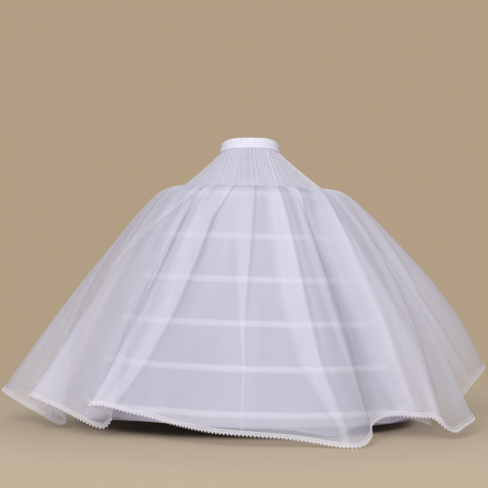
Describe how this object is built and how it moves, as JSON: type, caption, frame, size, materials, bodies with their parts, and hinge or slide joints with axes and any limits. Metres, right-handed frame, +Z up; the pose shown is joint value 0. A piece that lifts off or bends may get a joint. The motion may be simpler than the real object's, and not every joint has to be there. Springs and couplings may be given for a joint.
{
  "type": "hooped petticoat",
  "caption": "White hooped petticoat with an elastic waistband, gathered yoke, cone underskirt with hoops in sewn casings, and bell-shaped net skirts edged with lace.",
  "frame": {"origin": "centre of the waist opening, level with the waistband's front top edge", "axes": "+Z up out of the waist opening, the wearer's front faces -Y, and +X is to the right seen from the front"},
  "size_m": [1.8336, 1.8066, 1.0559],
  "materials": {
    "cotton_cloth": "matte puckered cotton",
    "woven_elastic": "matte woven elastic",
    "taffeta": "soft satin",
    "casing_tape": "matte woven tape",
    "coated_bone": "smooth coated spring",
    "joiner_sleeve": "smooth moulded",
    "tulle": "sheer stiff net",
    "lace": "matte corded lace"
  },
  "bodies": {
    "root": {"waistband": "cotton_cloth", "waist_elastic": "woven_elastic", "yoke": "taffeta", "underskirt": "taffeta", "hoop_casing_1": "casing_tape", "hoop_casing_2": "casing_tape", "hoop_casing_3": "casing_tape", "hoop_casing_4": "casing_tape", "hoop_casing_5": "casing_tape", "hoop_casing_6": "casing_tape", "hoop_1": "coated_bone", "hoop_2": "coated_bone", "hoop_3": "coated_bone", "hoop_4": "coated_bone", "hoop_5": "coated_bone", "hoop_6": "coated_bone", "hoop_joiner_1": "joiner_sleeve", "hoop_joiner_2": "joiner_sleeve", "hoop_joiner_3": "joiner_sleeve", "hoop_joiner_4": "joiner_sleeve", "hoop_joiner_5": "joiner_sleeve", "hoop_joiner_6": "joiner_sleeve", "inner_net": "tulle", "outer_net": "tulle", "hem_lace": "lace"}
  },
  "joints": []
}
